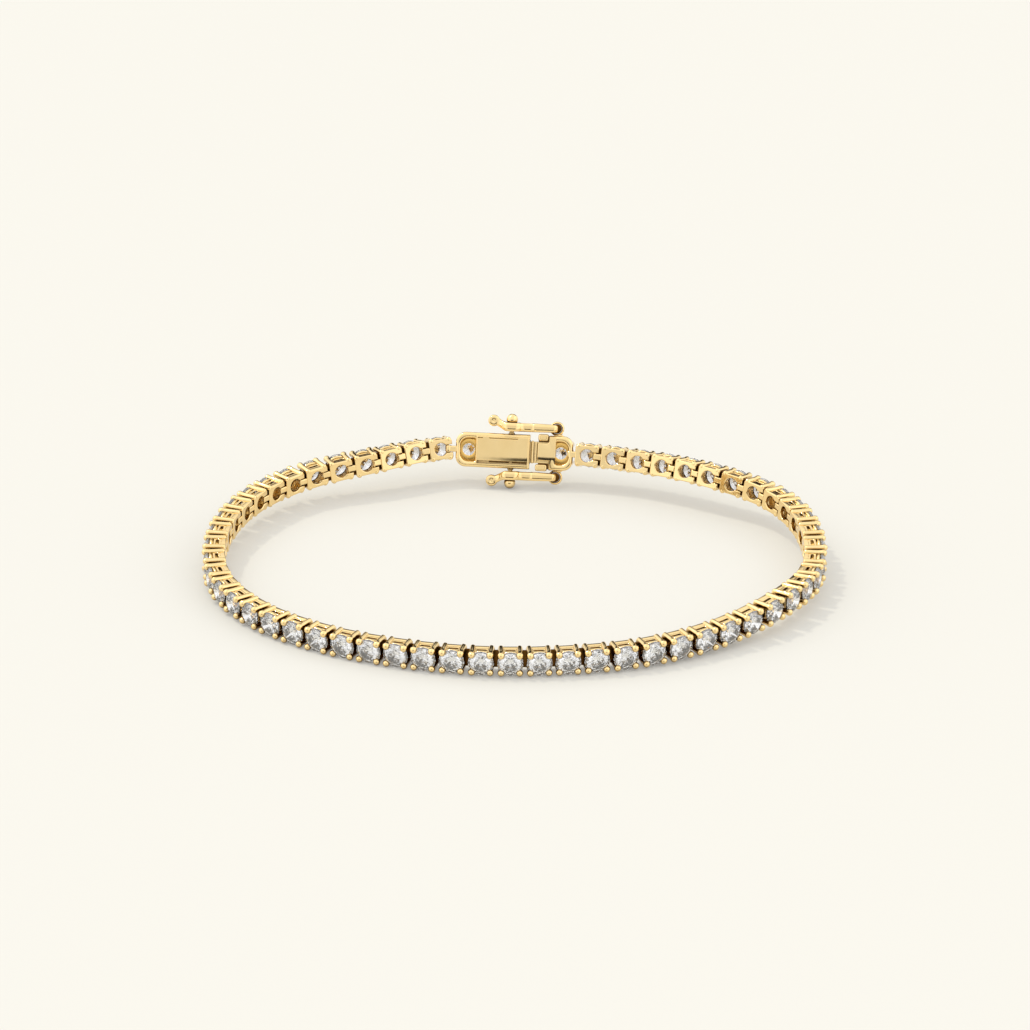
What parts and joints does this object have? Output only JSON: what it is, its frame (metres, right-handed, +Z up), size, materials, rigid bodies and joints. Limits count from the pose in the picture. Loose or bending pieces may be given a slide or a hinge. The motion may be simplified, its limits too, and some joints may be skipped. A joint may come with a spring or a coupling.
{
  "type": "tennis bracelet",
  "caption": "Closed flexible bracelet of small four-prong links, each set with a round brilliant stone, with a tongue-and-box clasp and two figure-8 safety catches.",
  "frame": {"origin": "centre of the bounding box at its base, on the surface that the bracelet stands on", "axes": "+X along the clasp and the long way of the loop, +Y towards the clasp at the back, +Z up, the way a wrist passes through"},
  "size_m": [0.0684, 0.0522, 0.0079],
  "materials": {
    "gold": "polished yellow gold",
    "diamond": "clear, cut and polished"
  },
  "bodies": {
    "bracelet": {"chain_left": "gold", "chain_right": "gold", "clasp_box": "gold", "clasp_tongue": "gold", "box_stone": "diamond", "tongue_stone": "diamond"},
    "upper_catch": {"safety_upper": "gold"},
    "lower_catch": {"safety_lower": "gold"}
  },
  "joints": [
    {"name": "upper_catch_hinge", "type": "hinge", "parent": "bracelet", "child": "upper_catch", "pos_m": [0.00265, 0.02492, 0.00647], "axis": [-0.0042, 0.9272, -0.3746], "range_deg": [0, 110]},
    {"name": "lower_catch_hinge", "type": "hinge", "parent": "bracelet", "child": "lower_catch", "pos_m": [0.00259, 0.02287, 0.00139], "axis": [0.0042, -0.9272, 0.3746], "range_deg": [0, 110]}
  ]
}
